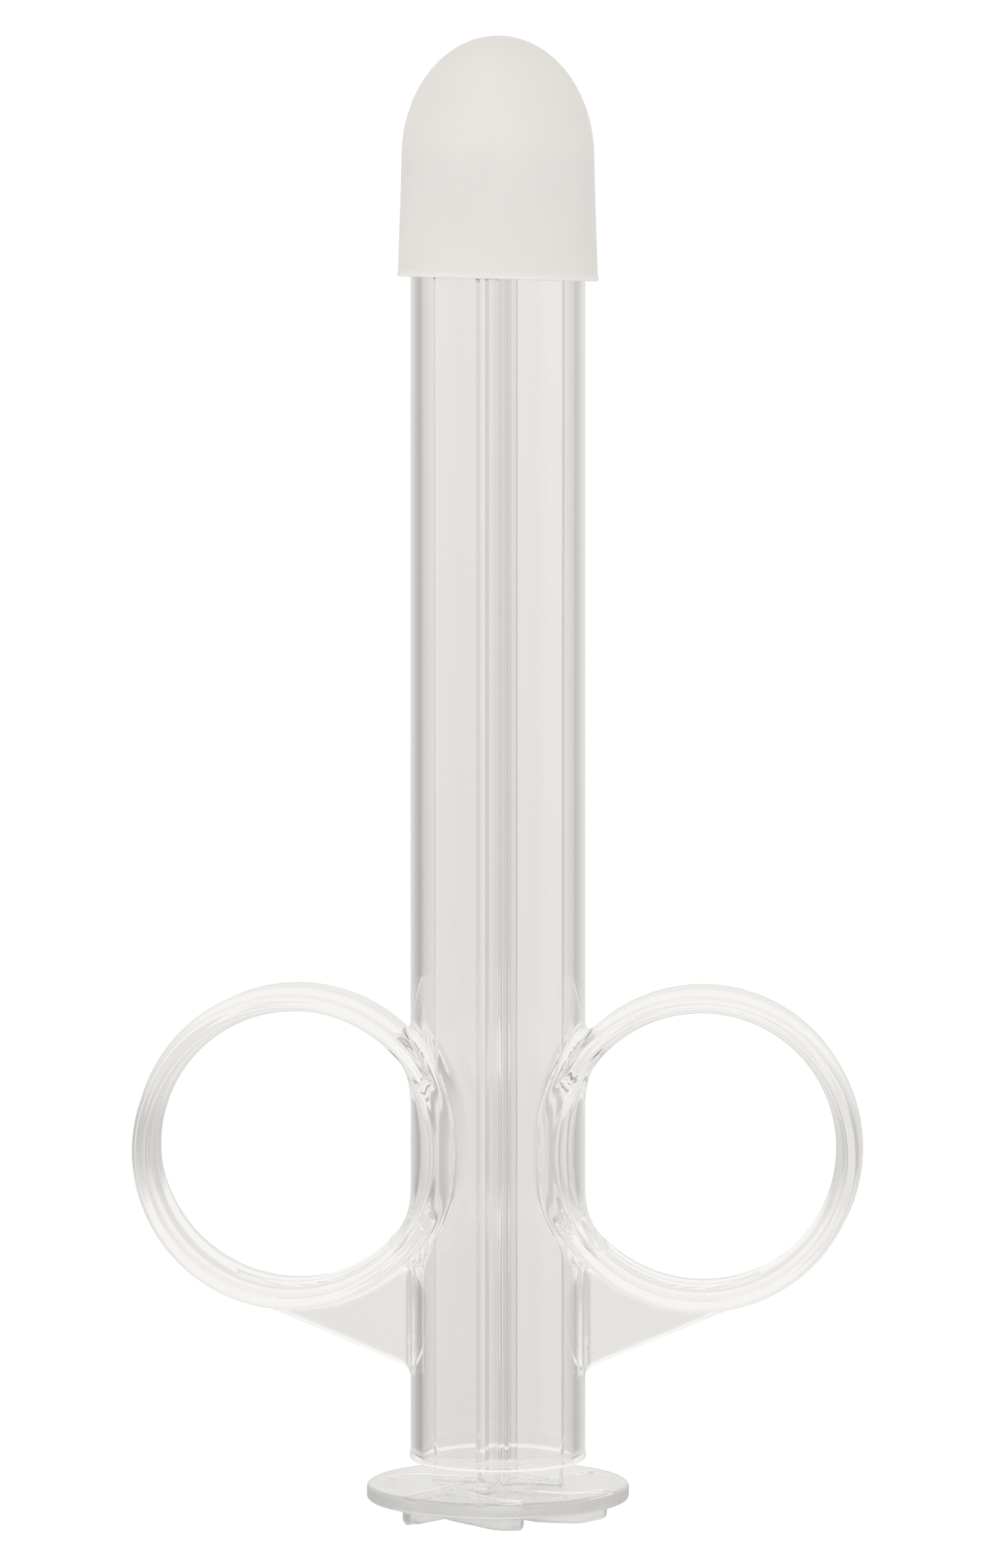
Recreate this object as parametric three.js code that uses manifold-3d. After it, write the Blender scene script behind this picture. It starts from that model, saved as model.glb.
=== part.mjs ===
// A clear, ring-handled plunger applicator, upright on the ribs under its thumb disc.
// Millimetres. +Z runs up the barrel, the finger rings lie along X and the front is -Y.
// The origin is on the plunger's axis, level with the underside of the ribs.
import * as THREE from 'three';
import { mergeVertices } from 'three/addons/utils/BufferGeometryUtils.js';
import Module from 'manifold-3d';

// Thumb disc and the curved grip ribs under it
const RIB_HEIGHT = 1.56;
const RIB_THICKNESS = 1.0;
// Middle lines of the ribs, as [radius, degrees from -Y towards +X]. Each comes again after half a turn.
const RIB_LINES = [
  [[2.6, -112], [5.5, -60], [7.2, -13], [9.3, 4], [10.1, 14]],
  [[2.6, -92], [5.5, -60], [8.4, -52], [11.1, -48]],
  [[2.6, 37], [4.5, 40], [6.1, 43], [8.3, 53], [9.7, 60], [10.6, 73]],
];
const HUB_RADIUS = 3;
const DISC_RADIUS = 12.65;
const DISC_THICKNESS = 1.5;
const DISC_ROUNDING = 0.25;
const DISC_TOP = RIB_HEIGHT + DISC_THICKNESS;

// Barrel: a tube with a little draft, open at both ends
const BARREL_BOTTOM = DISC_TOP + 2.28;
const BARREL_TOP = 130;
const BARREL_RADIUS_BOTTOM = 8.43;
const BARREL_RADIUS_TOP = 8.33;
const BORE_RADIUS = 7.35;
const RIM_BEAD = 0.12;
const RIM_BEAD_HEIGHT = 1.2;

// Finger rings: thickest at the parting plane y = 0, drafted towards both faces
const RING_OFFSET = 19.6;
const RING_HEIGHT = 35.7;
const RING_HALF_DEPTH = 6.8;
const RING_OUTER_MIDDLE = 15.5;
const RING_OUTER_FACE = 15.1;
const RING_INNER_MIDDLE = 12.9;
const RING_INNER_FACE = 13.7;

// Webs: thin gussets that brace the rings from below
const WEB_THICKNESS = 1.35;
const WEB_ANGLE = THREE.MathUtils.degToRad(23); // of the lower edge, above horizontal
const WEB_ROOT = 0.6; // how far the web runs into the barrel's wall

// Plunger rod: a plus-shaped section with a grooved piston head on top
const ROD_HALF_WIDTH = 6.4;
const ROD_BLADE = 1.22;
const ROD_TURN = THREE.MathUtils.degToRad(-11); // how far the plunger is turned in the barrel
const HEAD_BOTTOM = 119.6;
const FLANGE_HEIGHT = 1.2;
const GROOVE_HEIGHT = 2.4;
const HEAD_RADIUS = 7.0;
const GROOVE_RADIUS = 5.0;
const HEAD_TOP = HEAD_BOTTOM + 2 * FLANGE_HEIGHT + GROOVE_HEIGHT;

// Seal ring in the piston's groove
const SEAL_RADIUS = 7.28;
const SEAL_WAIST_RADIUS = 7.0;
const SEAL_SIDE_GAP = 0.15; // to each flange
const SEAL_BORE_GAP = 0.08; // to the groove's floor

// Domed cap, pushed over the barrel's top end
const CAP_RIM = 118.9;
const CAP_SHOULDER = 130.5;
const CAP_APEX = 142;
const CAP_RADIUS_SHOULDER = 9.19;
const CAP_RADIUS_RIM = 9.56;
const CAP_LIP = 0.06;
const CAP_LIP_HEIGHT = 0.5;
const CAP_DOME_WALL = 1.2;
const CAP_FIT_TOP = 0.12; // radial clearance over the barrel at its top end
const CAP_FIT_RIM = 0.3; // and at the cap's rim
const CAP_SEAT_GAP = 0.3; // between the barrel's end and the ledge inside the cap
const CAP_RIM_SLOPE = Math.tan(THREE.MathUtils.degToRad(1.5)); // the rim is lower on +X

const AROUND = 72; // facets of the round parts
const DOME_STEPS = 12;
const OVERLAP = 0.2; // of shapes that are joined into one moulding

const wasm = await Module();
wasm.setup();

// A lathe about +Z. The profile is [radius, height] points, and closes on itself or on the axis.
function turned(profile) {
  return turnedAboutY(profile).rotateX(Math.PI / 2);
}

function turnedAboutY(profile) {
  const points = profile.map(([radius, height]) => new THREE.Vector2(radius, height));
  const onAxis = profile[0][0] === 0 && profile.at(-1)[0] === 0;
  if (!onAxis) {
    points.push(points[0].clone());
  }
  return new THREE.LatheGeometry(points, AROUND);
}

function rod(radius, bottom, top) {
  return turned([[0, bottom], [radius, bottom], [radius, top], [0, top]]);
}

// Only position is left, equal vertices are merged, and triangles that have no area are dropped.
function welded(geometry) {
  const bare = geometry.clone();
  bare.deleteAttribute('normal');
  bare.deleteAttribute('uv');
  const merged = mergeVertices(bare, 1e-4);
  const corners = merged.index.array;
  const kept = [];
  for (let i = 0; i < corners.length; i += 3) {
    const [a, b, c] = corners.slice(i, i + 3);
    if (a !== b && b !== c && c !== a) {
      kept.push(a, b, c);
    }
  }
  merged.setIndex(kept);
  return merged;
}

function toSolid(geometry) {
  const closed = welded(geometry);
  const vertProperties = new Float32Array(closed.attributes.position.array);
  const triVerts = new Uint32Array(closed.index.array);
  return new wasm.Manifold(new wasm.Mesh({ numProp: 3, vertProperties, triVerts }));
}

function toGeometry(solid) {
  const { vertProperties, triVerts } = solid.getMesh();
  const geometry = new THREE.BufferGeometry();
  geometry.setAttribute('position', new THREE.BufferAttribute(vertProperties, 3));
  geometry.setIndex(new THREE.BufferAttribute(triVerts, 1));
  geometry.computeVertexNormals();
  return geometry;
}

function joined(geometries) {
  return geometries.map(toSolid).reduce((sum, next) => sum.add(next));
}

// ---- Barrel

function tubeOutside() {
  return turned([
    [0, BARREL_BOTTOM],
    [BARREL_RADIUS_BOTTOM + RIM_BEAD, BARREL_BOTTOM],
    [BARREL_RADIUS_BOTTOM + RIM_BEAD, BARREL_BOTTOM + RIM_BEAD_HEIGHT / 2],
    [BARREL_RADIUS_BOTTOM, BARREL_BOTTOM + RIM_BEAD_HEIGHT],
    [BARREL_RADIUS_TOP, BARREL_TOP],
    [0, BARREL_TOP],
  ]);
}

function fingerRing() {
  return turnedAboutY([
    [RING_INNER_FACE, -RING_HALF_DEPTH],
    [RING_OUTER_FACE, -RING_HALF_DEPTH],
    [RING_OUTER_MIDDLE, 0],
    [RING_OUTER_FACE, RING_HALF_DEPTH],
    [RING_INNER_FACE, RING_HALF_DEPTH],
    [RING_INNER_MIDDLE, 0],
  ]).translate(RING_OFFSET, 0, RING_HEIGHT);
}

// Fills the corner between barrel and ring, below the ring. Its lower edge is tangent to the ring.
function web() {
  const middle = (RING_OUTER_MIDDLE + RING_INNER_MIDDLE) / 2;
  const root = BARREL_RADIUS_BOTTOM - WEB_ROOT;
  const tangent = WEB_ANGLE - Math.PI / 2;
  const touchX = RING_OFFSET + RING_OUTER_MIDDLE * Math.cos(tangent);
  const touchZ = RING_HEIGHT + RING_OUTER_MIDDLE * Math.sin(tangent);
  const rootZ = touchZ - (touchX - root) * Math.tan(WEB_ANGLE);
  const meeting = Math.PI + Math.acos((RING_OFFSET - root) / middle);
  const shape = new THREE.Shape();
  shape.moveTo(root, rootZ);
  shape.lineTo(touchX, touchZ);
  shape.absarc(RING_OFFSET, RING_HEIGHT, middle, tangent, meeting - 2 * Math.PI, true);
  shape.closePath();
  const settings = { depth: WEB_THICKNESS, bevelEnabled: false, curveSegments: 16 };
  return new THREE.ExtrudeGeometry(shape, settings)
    .rotateX(Math.PI / 2)
    .translate(0, WEB_THICKNESS / 2, 0);
}

function barrel() {
  const right = [fingerRing(), web()];
  const left = right.map((geometry) => geometry.clone().rotateZ(Math.PI));
  const outside = joined([tubeOutside(), ...right, ...left]);
  const bore = toSolid(rod(BORE_RADIUS, BARREL_BOTTOM - 1, BARREL_TOP + 1));
  return toGeometry(outside.subtract(bore));
}

// ---- Plunger

function plusSection() {
  const wide = ROD_HALF_WIDTH;
  const thin = ROD_BLADE / 2;
  const quarter = [[wide, -thin], [wide, thin], [thin, thin]];
  const shape = new THREE.Shape();
  for (let turn = 0; turn < 4; turn += 1) {
    for (const [x, y] of quarter) {
      const corner = new THREE.Vector2(x, y).rotateAround(new THREE.Vector2(), turn * Math.PI / 2);
      if (shape.currentPoint.lengthSq() === 0) {
        shape.moveTo(corner.x, corner.y);
      } else {
        shape.lineTo(corner.x, corner.y);
      }
    }
  }
  shape.closePath();
  return shape;
}

function rodBlades() {
  const bottom = DISC_TOP - OVERLAP;
  const depth = HEAD_BOTTOM + OVERLAP - bottom;
  const settings = { depth, bevelEnabled: false, steps: 1 };
  return new THREE.ExtrudeGeometry(plusSection(), settings).translate(0, 0, bottom);
}

function thumbDisc() {
  const flat = DISC_RADIUS - DISC_ROUNDING;
  return turned([
    [0, RIB_HEIGHT],
    [flat, RIB_HEIGHT],
    [DISC_RADIUS, RIB_HEIGHT + DISC_ROUNDING],
    [DISC_RADIUS, DISC_TOP - DISC_ROUNDING],
    [flat, DISC_TOP],
    [0, DISC_TOP],
  ]);
}

// The lines are given in the part's frame, so the turn of the rod is taken off them.
function gripRib(line, turn) {
  const points = line.map(([radius, degrees]) => {
    const angle = THREE.MathUtils.degToRad(degrees) + turn - ROD_TURN;
    return new THREE.Vector2(radius * Math.sin(angle), -radius * Math.cos(angle));
  });
  const curve = new THREE.SplineCurve(points);
  const sides = { left: [], right: [] };
  const steps = 14;
  for (let i = 0; i <= steps; i += 1) {
    const at = curve.getPoint(i / steps);
    const along = curve.getTangent(i / steps);
    const across = new THREE.Vector2(-along.y, along.x).multiplyScalar(RIB_THICKNESS / 2);
    sides.left.push(at.clone().add(across));
    sides.right.unshift(at.clone().sub(across));
  }
  const shape = new THREE.Shape([...sides.right, ...sides.left]);
  const settings = { depth: RIB_HEIGHT + OVERLAP, bevelEnabled: false };
  return new THREE.ExtrudeGeometry(shape, settings);
}

function gripRibs() {
  return RIB_LINES.flatMap((line) => [gripRib(line, 0), gripRib(line, Math.PI)]);
}

function pistonHead() {
  const groove = HEAD_BOTTOM + FLANGE_HEIGHT;
  return turned([
    [0, HEAD_BOTTOM],
    [HEAD_RADIUS, HEAD_BOTTOM],
    [HEAD_RADIUS, groove],
    [GROOVE_RADIUS, groove],
    [GROOVE_RADIUS, groove + GROOVE_HEIGHT],
    [HEAD_RADIUS, groove + GROOVE_HEIGHT],
    [HEAD_RADIUS, HEAD_TOP],
    [0, HEAD_TOP],
  ]);
}

function plunger() {
  const hub = rod(HUB_RADIUS, 0, RIB_HEIGHT + OVERLAP);
  return toGeometry(joined([thumbDisc(), hub, ...gripRibs(), rodBlades(), pistonHead()]));
}

// ---- Seal

function pistonSeal() {
  const inside = GROOVE_RADIUS + SEAL_BORE_GAP;
  const bottom = HEAD_BOTTOM + FLANGE_HEIGHT + SEAL_SIDE_GAP;
  const top = HEAD_TOP - FLANGE_HEIGHT - SEAL_SIDE_GAP;
  const lip = (top - bottom) / 4;
  return turned([
    [inside, bottom],
    [SEAL_WAIST_RADIUS, bottom],
    [SEAL_RADIUS, bottom + lip / 2],
    [SEAL_RADIUS, bottom + lip],
    [SEAL_WAIST_RADIUS, bottom + 1.5 * lip],
    [SEAL_WAIST_RADIUS, top - 1.5 * lip],
    [SEAL_RADIUS, top - lip],
    [SEAL_RADIUS, top - lip / 2],
    [SEAL_WAIST_RADIUS, top],
    [inside, top],
  ]);
}

// ---- Cap

function quarterEllipse(radius, centre, apex, steps) {
  const points = [];
  for (let i = 0; i <= steps; i += 1) {
    const angle = (i / steps) * (Math.PI / 2);
    const reach = i === steps ? 0 : radius * Math.cos(angle);
    points.push([reach, centre + (apex - centre) * Math.sin(angle)]);
  }
  return points;
}

function cap() {
  const seat = BARREL_TOP + CAP_SEAT_GAP;
  const outside = [
    [CAP_RADIUS_RIM, CAP_RIM],
    [CAP_RADIUS_RIM + CAP_LIP, CAP_RIM + CAP_LIP_HEIGHT / 2],
    [CAP_RADIUS_RIM, CAP_RIM + CAP_LIP_HEIGHT],
    ...quarterEllipse(CAP_RADIUS_SHOULDER, CAP_SHOULDER, CAP_APEX, DOME_STEPS),
  ];
  const domeInside = CAP_RADIUS_SHOULDER - CAP_DOME_WALL;
  const inside = [
    ...quarterEllipse(domeInside, seat, CAP_APEX - CAP_DOME_WALL, DOME_STEPS).reverse(),
    [BARREL_RADIUS_TOP + CAP_FIT_TOP, seat],
    [BARREL_RADIUS_TOP + CAP_FIT_RIM, CAP_RIM],
  ];
  const halves = [...inside, ...outside];
  const geometry = turned(halves);
  return slopedRim(geometry);
}

// The cap's rim is not quite square to the barrel. The slope fades out towards the shoulder.
function slopedRim(geometry) {
  const at = geometry.attributes.position;
  for (let i = 0; i < at.count; i += 1) {
    const share = (CAP_SHOULDER - at.getZ(i)) / (CAP_SHOULDER - CAP_RIM);
    const drop = CAP_RIM_SLOPE * at.getX(i) * THREE.MathUtils.clamp(share, 0, 1);
    at.setZ(i, at.getZ(i) - drop);
  }
  return geometry;
}

// ---- The applicator

function piece(name, geometry, settings) {
  const mesh = new THREE.Mesh(geometry, new THREE.MeshStandardMaterial(settings));
  mesh.name = name;
  return mesh;
}

const clear = { color: '#e3e6e3', roughness: 0.08, metalness: 0, transparent: true, opacity: 0.4 };
const frosted = { color: '#e9e7e3', roughness: 0.55, metalness: 0 };
const silicone = { color: '#f0efeb', roughness: 0.45, metalness: 0 };

const group = new THREE.Group();
group.add(piece('barrel', barrel(), clear));
group.add(piece('cap', cap(), frosted));
const turnedPlunger = new THREE.Group();
turnedPlunger.rotation.z = ROD_TURN;
turnedPlunger.add(piece('plunger', plunger(), clear));
turnedPlunger.add(piece('piston_seal', pistonSeal(), silicone));
group.add(turnedPlunger);

export default group;
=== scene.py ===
"""A clear ring-handled plunger applicator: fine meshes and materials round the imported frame."""
import math

import bmesh
import bpy
import numpy as np
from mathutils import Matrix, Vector


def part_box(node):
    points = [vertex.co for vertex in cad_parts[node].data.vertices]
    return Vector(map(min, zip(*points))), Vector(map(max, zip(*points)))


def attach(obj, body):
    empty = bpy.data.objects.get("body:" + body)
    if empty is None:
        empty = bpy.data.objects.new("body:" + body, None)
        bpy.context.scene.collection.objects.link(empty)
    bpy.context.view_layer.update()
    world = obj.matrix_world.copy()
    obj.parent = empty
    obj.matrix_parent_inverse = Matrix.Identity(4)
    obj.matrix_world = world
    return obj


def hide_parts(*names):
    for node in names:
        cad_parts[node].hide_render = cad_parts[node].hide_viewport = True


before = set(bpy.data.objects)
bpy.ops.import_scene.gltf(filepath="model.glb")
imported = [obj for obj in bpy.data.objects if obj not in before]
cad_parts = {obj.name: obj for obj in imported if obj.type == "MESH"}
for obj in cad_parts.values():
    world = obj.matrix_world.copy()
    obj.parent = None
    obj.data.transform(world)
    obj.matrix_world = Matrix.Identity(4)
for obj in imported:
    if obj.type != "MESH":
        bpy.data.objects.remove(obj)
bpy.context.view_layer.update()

# Shapes are worked out in millimetres, as the CAD is, and become metres in the meshes.
MM = 0.001


def box_mm(node):
    low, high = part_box(node)
    return np.array(low) / MM, np.array(high) / MM


BARREL_LOW, BARREL_HIGH = box_mm("barrel")
PLUNGER_HIGH = box_mm("plunger")[1]
CAP_HIGH = box_mm("cap")[1]
SEAL_LOW, SEAL_HIGH = box_mm("piston_seal")

# Barrel tube
BARREL_BOTTOM = BARREL_LOW[2]
BARREL_TOP = BARREL_HIGH[2]
TUBE_RADIUS_BOTTOM = 8.43
TUBE_RADIUS_TOP = 8.33
BORE_RADIUS = 7.35
BEAD = 0.12
BEAD_HEIGHT = 1.2

# Finger rings and the webs below them
RING_OUTER_MIDDLE = 15.5
RING_OUTER_FACE = 15.1
RING_INNER_MIDDLE = 12.9
RING_INNER_FACE = 13.7
RING_HALF_DEPTH = 6.8
RING_X = BARREL_HIGH[0] - RING_OUTER_MIDDLE
RING_Z = 35.7
WEB_HALF = 0.675
WEB_ANGLE = math.radians(23)
WEB_ROOT = 7.9
EDGE_ROUNDING = 0.5
RING_FILLET = 1.2
WEB_FILLET = 0.7
BORE_EDGE = 0.35

# Plunger
DISC_RADIUS = 12.65
DISC_BOTTOM = 1.56
DISC_TOP = 3.06
ROD_REACH = 6.4
ROD_HALF_BLADE = 0.61
ROD_TURN = math.radians(-11)
RIB_HALF = 0.5
# Middle lines of the ribs, as (radius, degrees from -Y towards +X). Each comes again after half a turn.
RIB_MARKS = [
    [(2.6, -112), (5.5, -60), (7.2, -13), (9.3, 4), (10.1, 14)],
    [(2.6, -92), (5.5, -60), (8.4, -52), (11.1, -48)],
    [(2.6, 37), (4.5, 40), (6.1, 43), (8.3, 53), (9.7, 60), (10.6, 73)],
]
HUB_RADIUS = 3.0
HEAD_BOTTOM = 119.6
HEAD_TOP = PLUNGER_HIGH[2]
FLANGE = 1.2
HEAD_RADIUS = 7.0
GROOVE_RADIUS = 5.0
# How far the rod runs into the disc and head, and the ribs into the disc
ROD_OVERLAP = 0.6
RIB_OVERLAP = 0.5
BLADE_EDGE = 0.4
BLADE_FILLET = 1.0
DISC_EDGE = 0.4
HEAD_EDGE = 0.3
GROOVE_EDGE = 0.2

# Cap
CAP_RIM = 118.9
CAP_SHOULDER = 130.5
CAP_APEX = CAP_HIGH[2]
CAP_RADIUS_SHOULDER = 9.19
CAP_RADIUS_RIM = 9.56
CAP_WALL = 1.2
CAP_RIM_SLOPE = math.tan(math.radians(1.5))


# The floor lies just below the reach of the plunger when it is drawn out, so that it stays in sight.
FLOOR_HEIGHT = -108


# ---- Mesh tools

def new_mesh(name, verts, faces):
    mesh = bpy.data.meshes.new(name)
    mesh.from_pydata((np.asarray(verts) * MM).tolist(), [], faces)
    bm = bmesh.new()
    bm.from_mesh(mesh)
    bmesh.ops.recalc_face_normals(bm, faces=bm.faces)
    bm.to_mesh(mesh)
    bm.free()
    return mesh


def new_object(name, mesh):
    obj = bpy.data.objects.new(name, mesh)
    bpy.context.scene.collection.objects.link(obj)
    return obj


def lathe(name, profile, around):
    """A closed surface turned about Z. The profile is (radius, height) pairs that start and end
    on the axis, or else close on themselves."""
    verts, rows, faces = [], [], []
    angles = np.arange(around) * 2 * math.pi / around
    for radius, height in profile:
        if radius == 0:
            rows.append([len(verts)] * around)
            verts.append((0, 0, height))
        else:
            rows.append(list(range(len(verts), len(verts) + around)))
            verts += [(radius * math.cos(a), radius * math.sin(a), height) for a in angles]
    if profile[0][0] > 0:
        rows.append(rows[0])
    for lower, upper in zip(rows, rows[1:]):
        for i in range(around):
            j = (i + 1) % around
            corners = [lower[i], lower[j], upper[j], upper[i]]
            faces.append(list(dict.fromkeys(corners)))
    return new_object(name, new_mesh(name, verts, faces))


def prism(name, outline, heights):
    """A closed outline of (x, y) points, raised through the given heights."""
    n = len(outline)
    verts = [(x, y, z) for z in heights for x, y in outline]
    faces = [list(range(n))[::-1], list(range(len(verts) - n, len(verts)))]
    for level in range(len(heights) - 1):
        for i in range(n):
            a, b = level * n + i, level * n + (i + 1) % n
            faces.append([a, b, b + n, a + n])
    return new_object(name, new_mesh(name, verts, faces))


def moved(obj, place):
    """Passes every point of the object's mesh, in millimetres, through a function."""
    set_points(obj.data, place(points(obj.data)))
    bm = bmesh.new()
    bm.from_mesh(obj.data)
    bmesh.ops.recalc_face_normals(bm, faces=bm.faces)
    bm.to_mesh(obj.data)
    bm.free()
    return obj


def points(mesh):
    co = np.empty(len(mesh.vertices) * 3)
    mesh.vertices.foreach_get("co", co)
    return co.reshape(-1, 3) / MM


def set_points(mesh, co):
    mesh.vertices.foreach_set("co", (co * MM).ravel())
    mesh.update()


def boolean(base, others, operation):
    """Joins others to base, or cuts them from it, and removes them."""
    for other in others:
        step = base.modifiers.new("step", "BOOLEAN")
        step.operation = operation
        step.solver = "MANIFOLD"
        step.object = other
    depsgraph = bpy.context.evaluated_depsgraph_get()
    mesh = bpy.data.meshes.new_from_object(base.evaluated_get(depsgraph))
    base.modifiers.clear()
    base.data = mesh
    for other in others:
        bpy.data.objects.remove(other)
    return base


# ---- Distance fields: negative inside the material

def smooth_min(a, b, reach):
    reach = np.maximum(reach, 1e-6)
    h = np.maximum(reach - np.abs(a - b), 0) / reach
    return np.minimum(a, b) - h * h * reach / 4


def smooth_max(a, b, reach):
    return -smooth_min(-a, -b, reach)


def smooth_step(t):
    t = np.clip(t, 0, 1)
    return t * t * (3 - 2 * t)


def slope_of(field, p, here=None):
    """The field's slope. With the values here known, a one-sided difference is enough."""
    tiny = 1e-4
    grad = np.empty_like(p)
    for k in range(3):
        step = np.zeros(3)
        step[k] = tiny
        if here is None:
            grad[:, k] = (field(p + step) - field(p - step)) / (2 * tiny)
        else:
            grad[:, k] = (field(p + step) - here) / tiny
    return grad


def facing(field, p, here=None):
    grad = slope_of(field, p, here)
    return grad / np.linalg.norm(grad, axis=1)[:, None]


def onto_surface(field, p, steps):
    for _ in range(steps):
        here = field(p)
        grad = slope_of(field, p, here)
        size = np.maximum((grad ** 2).sum(1), 0.05)
        p = p - grad * np.clip(here / size, -0.25, 0.25)[:, None]
    return p


def split_bends(obj, field, shortest, bend):
    """Splits the edges across which the surface turns by more than bend. True if there were any."""
    p = points(obj.data)
    n = facing(field, p, field(p))
    bm = bmesh.new()
    bm.from_mesh(obj.data)
    bm.edges.ensure_lookup_table()
    ends = np.array([(e.verts[0].index, e.verts[1].index) for e in bm.edges])
    turn = (n[ends[:, 0]] * n[ends[:, 1]]).sum(1)
    length = np.linalg.norm(p[ends[:, 0]] - p[ends[:, 1]], axis=1)
    chosen = np.nonzero((turn < math.cos(bend)) & (length > shortest))[0]
    bmesh.ops.subdivide_edges(bm, edges=[bm.edges[i] for i in chosen], cuts=1)
    bmesh.ops.triangulate(bm, faces=[f for f in bm.faces if len(f.verts) > 4])
    bm.to_mesh(obj.data)
    bm.free()
    return len(chosen) > 0


def settle(obj, field, shortest=0.13, bend=math.radians(11)):
    """Moves the mesh onto the field's surface, adds points where it bends, and takes the normals
    from the field."""
    for _ in range(7):
        set_points(obj.data, onto_surface(field, points(obj.data), 1))
        if not split_bends(obj, field, shortest, bend):
            break
    p = onto_surface(field, points(obj.data), 4)
    set_points(obj.data, p)
    obj.data.shade_smooth()
    obj.data.normals_split_custom_set_from_vertices(facing(field, p).tolist())
    return obj


# ---- Barrel

def tube_radius(z):
    share = (z - BARREL_BOTTOM) / (BARREL_TOP - BARREL_BOTTOM)
    draft = TUBE_RADIUS_BOTTOM + (TUBE_RADIUS_TOP - TUBE_RADIUS_BOTTOM) * share
    return draft + BEAD * (1 - smooth_step((z - BARREL_BOTTOM) / BEAD_HEIGHT))


def ring_radii(y):
    share = np.abs(y) / RING_HALF_DEPTH
    outer = RING_OUTER_MIDDLE + (RING_OUTER_FACE - RING_OUTER_MIDDLE) * share
    inner = RING_INNER_MIDDLE + (RING_INNER_FACE - RING_INNER_MIDDLE) * share
    return inner, outer


def web_line():
    """The web's lower edge: a point on it and its upward slope."""
    tangent = WEB_ANGLE - math.pi / 2
    touch_x = RING_X + RING_OUTER_MIDDLE * math.cos(tangent)
    touch_z = RING_Z + RING_OUTER_MIDDLE * math.sin(tangent)
    return touch_x, touch_z, math.tan(WEB_ANGLE)


def barrel_field(p):
    x, y, z = np.abs(p[:, 0]), p[:, 1], p[:, 2]
    rho = np.hypot(p[:, 0], y)
    ends = np.maximum(BARREL_BOTTOM - z, z - BARREL_TOP)
    tube = smooth_max(rho - tube_radius(z), ends, EDGE_ROUNDING)
    q = np.hypot(x - RING_X, z - RING_Z)
    inner, outer = ring_radii(y)
    ring = smooth_max(q - outer, np.abs(y) - RING_HALF_DEPTH, EDGE_ROUNDING)
    ring = smooth_max(ring, inner - q, EDGE_ROUNDING)
    touch_x, touch_z, rise = web_line()
    below = (touch_z + (x - touch_x) * rise - z) * math.cos(WEB_ANGLE)
    middle = (RING_OUTER_MIDDLE + RING_INNER_MIDDLE) / 2
    bounds = np.maximum.reduce([middle - q, WEB_ROOT - x, x - touch_x, z - RING_Z])
    web = smooth_max(np.abs(y) - WEB_HALF, below, EDGE_ROUNDING)
    web = np.maximum(web, bounds)
    outside = smooth_min(tube, ring, RING_FILLET)
    outside = smooth_min(outside, web, WEB_FILLET)
    return smooth_max(outside, BORE_RADIUS - rho, BORE_EDGE)


def spaced(low, high, step):
    return list(np.linspace(low, high, max(2, round((high - low) / step) + 1)))


def ring_mesh(name, side):
    half = RING_HALF_DEPTH
    across = [half * math.sin(a) for a in np.linspace(-math.pi / 2, math.pi / 2, 25)]
    inside = [(float(ring_radii(y)[0]), y) for y in across]
    outside = [(float(ring_radii(y)[1]), y) for y in across[::-1]]
    front = [(r, -half) for r in np.linspace(RING_OUTER_FACE, RING_INNER_FACE, 6)[1:-1]]
    back = [(r, half) for r in np.linspace(RING_INNER_FACE, RING_OUTER_FACE, 6)[1:-1]]
    ring = lathe(name, inside + back + outside + front, 224)
    return moved(ring, lambda p: np.stack([p[:, 0] + side * RING_X, p[:, 2], p[:, 1] + RING_Z], 1))


def web_mesh(name, side):
    touch_x, touch_z, rise = web_line()
    middle = (RING_OUTER_MIDDLE + RING_INNER_MIDDLE) / 2
    lower = [(x, touch_z + (x - touch_x) * rise) for x in spaced(WEB_ROOT, touch_x, 0.5)]
    start = -math.acos((touch_x - RING_X) / middle)
    stop = -math.acos((WEB_ROOT - RING_X) / middle)
    upper = [(RING_X + middle * math.cos(a), RING_Z + middle * math.sin(a))
             for a in np.linspace(start, stop, 40)]
    root = [(WEB_ROOT, z) for z in spaced(upper[-1][1], lower[0][1], 0.5)[1:-1]]
    web = prism(name, lower + upper + root, spaced(-WEB_HALF, WEB_HALF, 0.4))
    return moved(web, lambda p: np.stack([side * p[:, 0], p[:, 2], p[:, 1]], 1))


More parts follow.
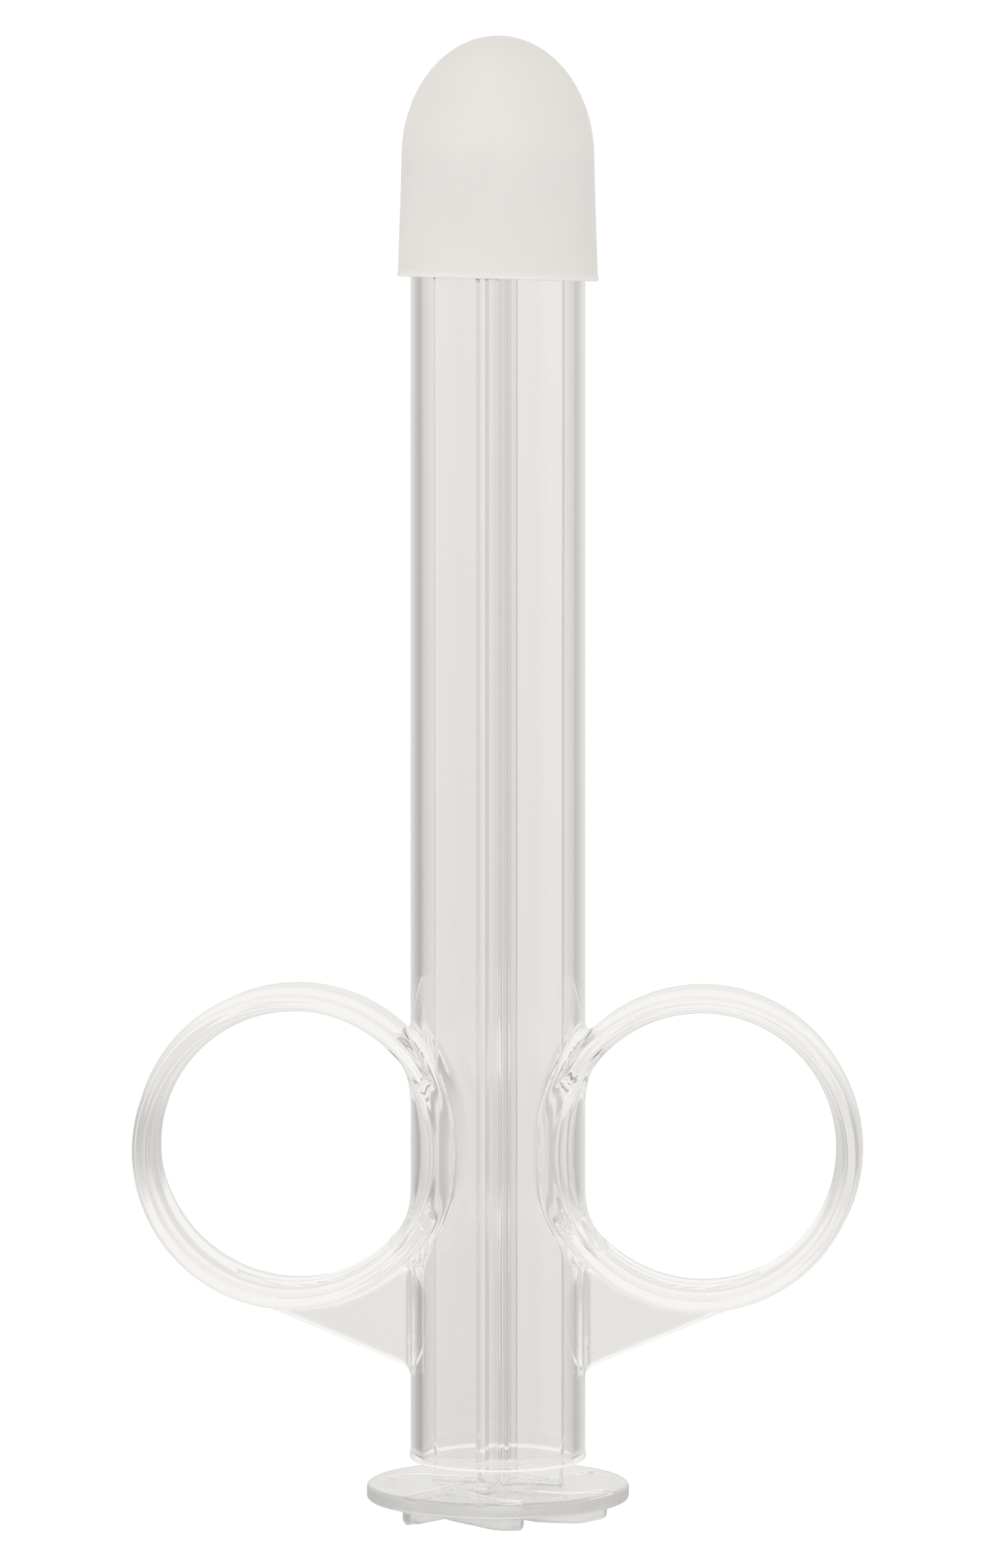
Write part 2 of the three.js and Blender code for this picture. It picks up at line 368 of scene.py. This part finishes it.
def make_barrel():
    levels = [0, 0.1, 0.25, 0.45, 0.7, 1.0, 1.5, 3]
    bottom = [BARREL_BOTTOM + h for h in levels]
    zone = spaced(RING_Z - 24, RING_Z + 17, 0.5)
    above = spaced(RING_Z + 25, BARREL_TOP - 4, 8)
    top = [BARREL_TOP - h for h in levels[::-1]]
    heights = bottom + zone + above + top
    rims = [3, 6.5, 7.35, 7.5, 7.7, 7.9, 8.1, 8.25]
    profile = [(0, BARREL_BOTTOM)] + [(r, BARREL_BOTTOM) for r in rims]
    profile += [(float(tube_radius(z)), z) for z in heights]
    profile += [(r, BARREL_TOP) for r in rims[::-1]] + [(0, BARREL_TOP)]
    barrel = lathe("barrel_moulding", profile, 256)
    parts = []
    for side in (1, -1):
        parts += [ring_mesh("ring", side), web_mesh("web", side)]
    boolean(barrel, parts, "UNION")
    ends = [-1, 0, 0.1, 0.25, 0.5, 1]
    bore = [BARREL_BOTTOM + h for h in ends] + spaced(15, 120, 15) + [BARREL_TOP - h for h in ends[::-1]]
    cutter = lathe("bore", [(0, bore[0])] + [(BORE_RADIUS, z) for z in bore] + [(0, bore[-1])], 256)
    boolean(barrel, [cutter], "DIFFERENCE")
    return settle(barrel, barrel_field)


# ---- Plunger

def rib_line(marks, turn):
    """A smooth line through the marks, as points."""
    marks = np.array(marks)
    angle = np.radians(marks[:, 1]) + turn
    knots = np.stack([marks[:, 0] * np.sin(angle), -marks[:, 0] * np.cos(angle)], 1)
    before = np.vstack([knots[:1], knots[:-1]])
    after = np.vstack([knots[1:], knots[-1:]])
    slope = (after - before) / 2
    line = [knots[0]]
    for i in range(len(knots) - 1):
        for t in (0.2, 0.4, 0.6, 0.8, 1.0):
            pull = knots[i] * (2 * t ** 3 - 3 * t ** 2 + 1) + knots[i + 1] * (3 * t ** 2 - 2 * t ** 3)
            bend = slope[i] * (t ** 3 - 2 * t ** 2 + t) + slope[i + 1] * (t ** 3 - t ** 2)
            line.append(pull + bend)
    return np.array(line)


RIB_LINES = [rib_line(marks, turn) for marks in RIB_MARKS for turn in (0, math.pi)]


def line_distance(xy, line):
    best = np.full(len(xy), 1e9)
    for a, b in zip(line, line[1:]):
        along = b - a
        t = np.clip(((xy - a) @ along) / (along @ along), 0, 1)
        gap = xy - a - t[:, None] * along
        best = np.minimum(best, np.hypot(gap[:, 0], gap[:, 1]))
    return best


def plunger_field(p):
    x, y, z = p[:, 0], p[:, 1], p[:, 2]
    rho = np.hypot(x, y)
    c, s = math.cos(ROD_TURN), math.sin(ROD_TURN)
    u, v = np.abs(c * x + s * y), np.abs(c * y - s * x)
    wide = smooth_max(u - ROD_REACH, v - ROD_HALF_BLADE, BLADE_EDGE)
    deep = smooth_max(v - ROD_REACH, u - ROD_HALF_BLADE, BLADE_EDGE)
    rod = smooth_min(wide, deep, BLADE_FILLET)
    rod = np.maximum(rod, np.maximum(DISC_TOP - ROD_OVERLAP - z, z - HEAD_BOTTOM - ROD_OVERLAP))
    flat = np.maximum(DISC_BOTTOM - z, z - DISC_TOP)
    disc = smooth_max(rho - DISC_RADIUS, flat, DISC_EDGE)
    near = np.full(len(p), 50.0)
    low = z < DISC_BOTTOM + 0.8
    near[low] = np.minimum.reduce([line_distance(p[low, :2], line) for line in RIB_LINES])
    # The ribs' outer ends are rounded more than the rest.
    corner = 0.25 + 0.6 * smooth_step(rho - 9.4)
    plan = smooth_min(near - RIB_HALF, rho - HUB_RADIUS, 0.5)
    ribs = np.maximum(smooth_max(plan, -z, corner), z - DISC_BOTTOM - RIB_OVERLAP)
    head = smooth_max(rho - HEAD_RADIUS, np.maximum(HEAD_BOTTOM - z, z - HEAD_TOP), HEAD_EDGE)
    groove_low, groove_high = HEAD_BOTTOM + FLANGE, HEAD_TOP - FLANGE
    groove = np.maximum.reduce([GROOVE_RADIUS - rho, groove_low - z, z - groove_high])
    head = smooth_max(head, -groove, GROOVE_EDGE)
    body = smooth_min(rod, disc, 0.3)
    body = smooth_min(body, ribs, 0.4)
    return smooth_min(body, head, 0.6)


def rod_outline():
    """The plus-shaped section, with points close enough for its fillets."""
    half, reach = ROD_HALF_BLADE, ROD_REACH
    side = [(t, -half) for t in spaced(half, reach, 0.45)]
    tip = [(reach, t) for t in spaced(-half, half, 0.3)[1:]]
    arm = side + tip + [(t, half) for t in spaced(half, reach, 0.45)[::-1][1:-1]]
    outline = []
    for quarter in range(4):
        turn = ROD_TURN + quarter * math.pi / 2
        c, s = math.cos(turn), math.sin(turn)
        outline += [(c * x - s * y, s * x + c * y) for x, y in arm]
    return outline


def rib_outline(line):
    tangent = np.gradient(line, axis=0)
    tangent /= np.linalg.norm(tangent, axis=1)[:, None]
    across = np.stack([-tangent[:, 1], tangent[:, 0]], 1) * RIB_HALF
    tip = [line[-1] + RIB_HALF * (tangent[-1] * math.cos(a) + across[-1] / RIB_HALF * math.sin(a))
           for a in np.linspace(-math.pi / 2, math.pi / 2, 9)[1:-1]]
    return [tuple(q) for q in [*(line - across), *tip, *(line + across)[::-1]]]


def make_plunger():
    rings = spaced(0.5, DISC_RADIUS - 0.8, 0.5) + [DISC_RADIUS - h for h in (0.55, 0.35, 0.2, 0.08)]
    rim = [(DISC_RADIUS, z) for z in spaced(DISC_BOTTOM, DISC_TOP, 0.18)]
    profile = [(0, DISC_BOTTOM)] + [(r, DISC_BOTTOM) for r in rings] + rim
    profile += [(r, DISC_TOP) for r in rings[::-1]] + [(0, DISC_TOP)]
    plunger = lathe("plunger_moulding", profile, 192)
    foot = [DISC_TOP + h for h in (-ROD_OVERLAP, 0, 0.2, 0.45, 0.8, 1.5)]
    neck = [HEAD_BOTTOM + h for h in (-1.5, -0.6, -0.3, 0, ROD_OVERLAP)]
    rod = prism("rod", rod_outline(), foot + spaced(10, 110, 10) + neck)
    ribs = [prism("rib", rib_outline(line), [0, 0.1, 0.25, 0.5, 1, 1.5, DISC_BOTTOM + RIB_OVERLAP])
            for line in RIB_LINES]
    hub_top = DISC_BOTTOM + RIB_OVERLAP
    hub = lathe("hub", [(0, 0), (1.5, 0), (2.6, 0), (HUB_RADIUS, 0), (HUB_RADIUS, 0.4),
                        (HUB_RADIUS, hub_top), (0, hub_top)], 96)
    low, high = HEAD_BOTTOM + FLANGE, HEAD_TOP - FLANGE
    head_rings = [2, 4, 5, 6, 6.6, 6.85]
    head = lathe("head", [(0, HEAD_BOTTOM)] + [(r, HEAD_BOTTOM) for r in head_rings]
                 + [(HEAD_RADIUS, HEAD_BOTTOM), (HEAD_RADIUS, low), (6, low), (GROOVE_RADIUS, low),
                    (GROOVE_RADIUS, high), (6, high), (HEAD_RADIUS, high), (HEAD_RADIUS, HEAD_TOP)]
                 + [(r, HEAD_TOP) for r in head_rings[::-1]] + [(0, HEAD_TOP)], 128)
    boolean(plunger, [rod, hub, head, *ribs], "UNION")
    return settle(plunger, plunger_field)


# ---- Seal and cap

def make_seal():
    low, high = SEAL_LOW[2], SEAL_HIGH[2]
    inside, waist, lip = GROOVE_RADIUS + 0.08, 7.0, SEAL_HIGH[0]
    middle = (low + high) / 2
    quarter = (high - low) / 4
    profile = [(inside + 0.1, low), (inside, low + 0.1), (inside, high - 0.1), (inside + 0.1, high)]
    for centre in (middle + quarter, middle - quarter):
        for a in np.linspace(70, -70, 9):
            reach = lip - waist + 0.2
            x = waist - 0.2 + reach * math.cos(math.radians(a))
            profile.append((x, centre + quarter * math.sin(math.radians(a)) * 1.05))
    profile = [(r, min(max(z, low), high)) for r, z in profile]
    seal = lathe("seal_ring", profile, 128)
    seal.data.shade_smooth()
    return seal


def ellipse_arc(radius, centre, apex, steps):
    arc = [(radius * math.cos(a), centre + (apex - centre) * math.sin(a))
           for a in np.linspace(0, math.pi / 2, steps)]
    return arc[:-1] + [(0, apex)]


def make_cap():
    seat = BARREL_TOP + 0.3
    skirt = np.linspace(CAP_RIM + 0.75, CAP_SHOULDER, 16)[:-1]

    def outer(z):
        share = (CAP_SHOULDER - z) / (CAP_SHOULDER - CAP_RIM)
        return CAP_RADIUS_SHOULDER + (CAP_RADIUS_RIM - CAP_RADIUS_SHOULDER) * share ** 1.15

    def inner(z):
        share = (seat - z) / (seat - CAP_RIM)
        return TUBE_RADIUS_TOP + 0.12 + 0.18 * share

    lip = [(inner(CAP_RIM), CAP_RIM + 0.1), (inner(CAP_RIM) + 0.1, CAP_RIM),
           (CAP_RADIUS_RIM - 0.12, CAP_RIM), (CAP_RADIUS_RIM + 0.02, CAP_RIM + 0.06),
           (CAP_RADIUS_RIM + 0.06, CAP_RIM + 0.2),
           (CAP_RADIUS_RIM + 0.04, CAP_RIM + 0.4), (float(outer(CAP_RIM + 0.6)), CAP_RIM + 0.6)]
    outside = [(float(outer(z)), z) for z in skirt]
    outside += ellipse_arc(CAP_RADIUS_SHOULDER, CAP_SHOULDER, CAP_APEX, 40)
    dome = ellipse_arc(CAP_RADIUS_SHOULDER - CAP_WALL, seat, CAP_APEX - CAP_WALL, 24)[::-1]
    inside = [(float(inner(z)), z) for z in np.linspace(seat, CAP_RIM + 0.5, 8)]
    cap = lathe("domed_cap", dome + inside + lip + outside, 192)

    def slope(p):
        share = smooth_step((CAP_SHOULDER - p[:, 2]) / (CAP_SHOULDER - CAP_RIM))
        return p - np.stack([0 * share, 0 * share, CAP_RIM_SLOPE * p[:, 0] * share], 1)

    moved(cap, slope)
    cap.data.shade_smooth()
    return cap


# ---- Materials

def node_material(name):
    mat = bpy.data.materials.new(name)
    mat.use_nodes = True
    nodes = mat.node_tree.nodes
    shader = nodes["Principled BSDF"]
    return mat, mat.node_tree, shader


def noise_at(tree, scale, stretch=(1, 1, 1), detail=3.0):
    coords = tree.nodes.new("ShaderNodeTexCoord")
    mapping = tree.nodes.new("ShaderNodeMapping")
    mapping.inputs["Scale"].default_value = stretch
    noise = tree.nodes.new("ShaderNodeTexNoise")
    noise.inputs["Scale"].default_value = scale
    noise.inputs["Detail"].default_value = detail
    tree.links.new(coords.outputs["Object"], mapping.inputs["Vector"])
    tree.links.new(mapping.outputs["Vector"], noise.inputs["Vector"])
    return noise.outputs["Fac"]


def mapped(tree, value, low, high, to_low, to_high):
    ramp = tree.nodes.new("ShaderNodeMapRange")
    ramp.inputs["From Min"].default_value = low
    ramp.inputs["From Max"].default_value = high
    ramp.inputs["To Min"].default_value = to_low
    ramp.inputs["To Max"].default_value = to_high
    tree.links.new(value, ramp.inputs["Value"])
    return ramp.outputs["Result"]


def bump(tree, height, strength, distance):
    node = tree.nodes.new("ShaderNodeBump")
    node.inputs["Strength"].default_value = strength
    node.inputs["Distance"].default_value = distance
    tree.links.new(height, node.inputs["Height"])
    return node.outputs["Normal"]


def maths(tree, operation, a, b=None):
    node = tree.nodes.new("ShaderNodeMath")
    node.operation = operation
    for i, value in enumerate((a, b)):
        if isinstance(value, (int, float)):
            node.inputs[i].default_value = value
        elif value is not None:
            tree.links.new(value, node.inputs[i])
    return node.outputs[0]


def object_axis(tree, axis):
    coords = tree.nodes.new("ShaderNodeTexCoord")
    split = tree.nodes.new("ShaderNodeSeparateXYZ")
    tree.links.new(coords.outputs["Object"], split.inputs[0])
    return split.outputs[axis]


def clear_plastic(name, smooth, satin, satin_share):
    """smooth and satin are roughnesses. satin_share, a function of the node tree, is 1 where the
    surface has a satin finish."""
    mat, tree, shader = node_material(name)
    shader.inputs["Base Color"].default_value = (1, 1, 1, 1)
    shader.inputs["Transmission Weight"].default_value = 1.0
    shader.inputs["IOR"].default_value = 1.5
    haze = mapped(tree, noise_at(tree, 260, (1, 1, 0.25)), 0.3, 0.7, 0.85, 1.15)
    finish = mapped(tree, satin_share(tree), 0, 1, smooth, satin)
    tree.links.new(maths(tree, "MULTIPLY", finish, haze), shader.inputs["Roughness"])
    streaks = noise_at(tree, 400, (1, 1, 0.01), 1.0)
    tree.links.new(bump(tree, streaks, 0.02, 0.0001), shader.inputs["Normal"])
    volume = tree.nodes.new("ShaderNodeVolumeAbsorption")
    volume.inputs["Color"].default_value = (0.95, 0.94, 0.93, 1)
    volume.inputs["Density"].default_value = 6
    output = next(n for n in tree.nodes if n.type == "OUTPUT_MATERIAL")
    tree.links.new(volume.outputs["Volume"], output.inputs["Volume"])
    return mat


def rings_and_webs(tree):
    """1 out on the rings and webs, 0 on the barrel's tube."""
    return mapped(tree, maths(tree, "ABSOLUTE", object_axis(tree, "X")), 0.0085, 0.0105, 0, 1)


def disc_rim_and_underside(tree):
    """1 below the edge of the disc's upper face, 0 above it."""
    return mapped(tree, object_axis(tree, "Z"), 0.00305, 0.0028, 0, 1)


def frosted_plastic(name):
    mat, tree, shader = node_material(name)
    cloud = noise_at(tree, 130, (1, 1, 0.6))
    mix = tree.nodes.new("ShaderNodeMix")
    mix.data_type = "RGBA"
    mix.inputs[6].default_value = (0.685, 0.667, 0.647, 1)
    mix.inputs[7].default_value = (0.715, 0.695, 0.672, 1)
    tree.links.new(mapped(tree, cloud, 0.3, 0.7, 0, 1), mix.inputs[0])
    tree.links.new(mix.outputs[2], shader.inputs["Base Color"])
    shader.inputs["Subsurface Weight"].default_value = 0.7
    shader.inputs["Subsurface Radius"].default_value = (1.0, 0.95, 0.85)
    shader.inputs["Subsurface Scale"].default_value = 0.002
    grain = noise_at(tree, 2600, (1, 1, 1), 2.0)
    tree.links.new(mapped(tree, cloud, 0.3, 0.7, 0.5, 0.62), shader.inputs["Roughness"])
    tree.links.new(bump(tree, grain, 0.2, 0.00004), shader.inputs["Normal"])
    return mat


def silicone(name):
    mat, tree, shader = node_material(name)
    cloud = noise_at(tree, 300)
    mix = tree.nodes.new("ShaderNodeMix")
    mix.data_type = "RGBA"
    mix.inputs[6].default_value = (0.80, 0.80, 0.78, 1)
    mix.inputs[7].default_value = (0.86, 0.86, 0.84, 1)
    tree.links.new(cloud, mix.inputs[0])
    tree.links.new(mix.outputs[2], shader.inputs["Base Color"])
    shader.inputs["Subsurface Weight"].default_value = 0.5
    shader.inputs["Subsurface Scale"].default_value = 0.001
    tree.links.new(mapped(tree, cloud, 0.3, 0.7, 0.35, 0.5), shader.inputs["Roughness"])
    return mat


# ---- Stage

def make_world():
    """A white surround, dimmer at the horizon and a little below it. Soft grey cards on its diagonals
    give the clear walls their dark edges."""
    world = bpy.data.worlds.new("studio")
    bpy.context.scene.world = world
    world.use_nodes = True
    tree = world.node_tree
    background = tree.nodes["Background"]
    coords = tree.nodes.new("ShaderNodeTexCoord")
    split = tree.nodes.new("ShaderNodeSeparateXYZ")
    tree.links.new(coords.outputs["Generated"], split.inputs[0])

    azimuth = maths(tree, "ARCTAN2", split.outputs["X"], split.outputs["Y"])
    cards = maths(tree, "SINE", maths(tree, "MULTIPLY", azimuth, 2.0))
    cards = maths(tree, "MULTIPLY", cards, cards)
    cards = maths(tree, "MULTIPLY", cards, mapped(tree, split.outputs["Z"], -0.36, -0.2, 0.25, 1))
    amount = maths(tree, "SUBTRACT", 0.32, maths(tree, "MULTIPLY", split.outputs["X"], 0.06))
    low = maths(tree, "MAXIMUM", split.outputs["Z"], -0.2)
    lower = maths(tree, "SUBTRACT", 0.09, maths(tree, "MULTIPLY", low, 0.45))
    dim = maths(tree, "ADD", maths(tree, "MULTIPLY", cards, amount), lower)
    above = mapped(tree, split.outputs["Z"], 0.0, 0.06, 1, 0)
    below = mapped(tree, split.outputs["Z"], -0.62, -0.46, 0, 1)
    dim = maths(tree, "MULTIPLY", dim, maths(tree, "MULTIPLY", above, below))
    tree.links.new(maths(tree, "SUBTRACT", 0.94, dim), background.inputs["Strength"])
    background.inputs["Color"].default_value = (1, 0.987, 0.956, 1)


def make_sweep():
    """A pale floor and a far wall that curves up from it. Only the floor takes part in the lighting."""
    far, cove, top = 2600, 500, 2500
    curve = [(far - cove + cove * math.sin(a), cove - cove * math.cos(a))
             for a in np.linspace(0, math.pi / 2, 13)]
    mat, tree, shader = node_material("pale_floor")
    shader.inputs["Base Color"].default_value = (0.95, 0.95, 0.95, 1)
    shader.inputs["Roughness"].default_value = 0.9
    glow = tree.nodes.new("ShaderNodeEmission")
    glow.inputs["Strength"].default_value = 1.1
    mix = tree.nodes.new("ShaderNodeMixShader")
    mix.inputs[0].default_value = 0.2
    output = next(n for n in tree.nodes if n.type == "OUTPUT_MATERIAL")
    tree.links.new(glow.outputs[0], mix.inputs[1])
    tree.links.new(shader.outputs[0], mix.inputs[2])
    tree.links.new(mix.outputs[0], output.inputs["Surface"])
    floor = lathe("floor", [(0, -1), (far - cove, -1), (far - cove, 0), (0, 0)], 64)
    wall = lathe("wall", curve + [(far, top), (far + 5, top), (far + 5, -1), (far - cove, -1)], 64)
    for obj in (floor, wall):
        obj.visible_transmission = False
        obj.visible_glossy = False
        obj.location.z = FLOOR_HEIGHT * MM
        obj.data.shade_smooth()
        obj.data.materials.append(mat)
    wall.visible_diffuse = False
    wall.visible_shadow = False


def area_light(name, place, target, size, power):
    light = bpy.data.lights.new(name, "AREA")
    light.shape = "RECTANGLE"
    light.size, light.size_y = size
    light.energy = power
    obj = bpy.data.objects.new(name, light)
    bpy.context.scene.collection.objects.link(obj)
    obj.location = place
    obj.rotation_euler = (Vector(target) - Vector(place)).to_track_quat("-Z", "Y").to_euler()
    obj.visible_transmission = False
    obj.visible_glossy = False


def make_camera():
    distance, height, azimuth = 0.6875, 0.1205, math.radians(2.8)
    camera = bpy.data.cameras.new("camera")
    camera.sensor_width = 36
    camera.lens = 165.1
    obj = bpy.data.objects.new("camera", camera)
    bpy.context.scene.collection.objects.link(obj)
    obj.location = (distance * math.sin(azimuth), -distance * math.cos(azimuth), height)
    aim = Vector((0.0002, 0, 0.0706))
    obj.rotation_euler = (aim - obj.location).to_track_quat("-Z", "Y").to_euler()
    bpy.context.scene.camera = obj


def place(obj, body, node, slot, material):
    obj.data.materials.clear()
    obj.data.materials.append(material)
    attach(obj, body)
    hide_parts(node)


make_camera()
make_world()
make_sweep()
area_light("key", (-0.14, -0.7, 0.32), (0, 0, 0.11), (0.25, 0.25), 1.1)
area_light("fill", (0.6, -0.3, 0.3), (0, 0, 0.07), (0.3, 0.6), 0.2)

barrel_material = clear_plastic("clear_barrel", 0.04, 0.08, rings_and_webs)
plunger_material = clear_plastic("clear_plunger", 0.04, 0.3, disc_rim_and_underside)
place(make_barrel(), "barrel", "barrel", "clear_barrel", barrel_material)
place(make_plunger(), "plunger", "plunger", "clear_plunger", plunger_material)
place(make_seal(), "seal", "piston_seal", "seal", silicone("silicone"))
place(make_cap(), "cap", "cap", "frosted_cap", frosted_plastic("frosted"))

scene = bpy.context.scene
scene.view_settings.view_transform = "Standard"
# Light stays long inside the clear walls, so the paths are long.
BOUNCES = 200
scene.cycles.max_bounces = BOUNCES
scene.cycles.transmission_bounces = BOUNCES
scene.cycles.glossy_bounces = BOUNCES
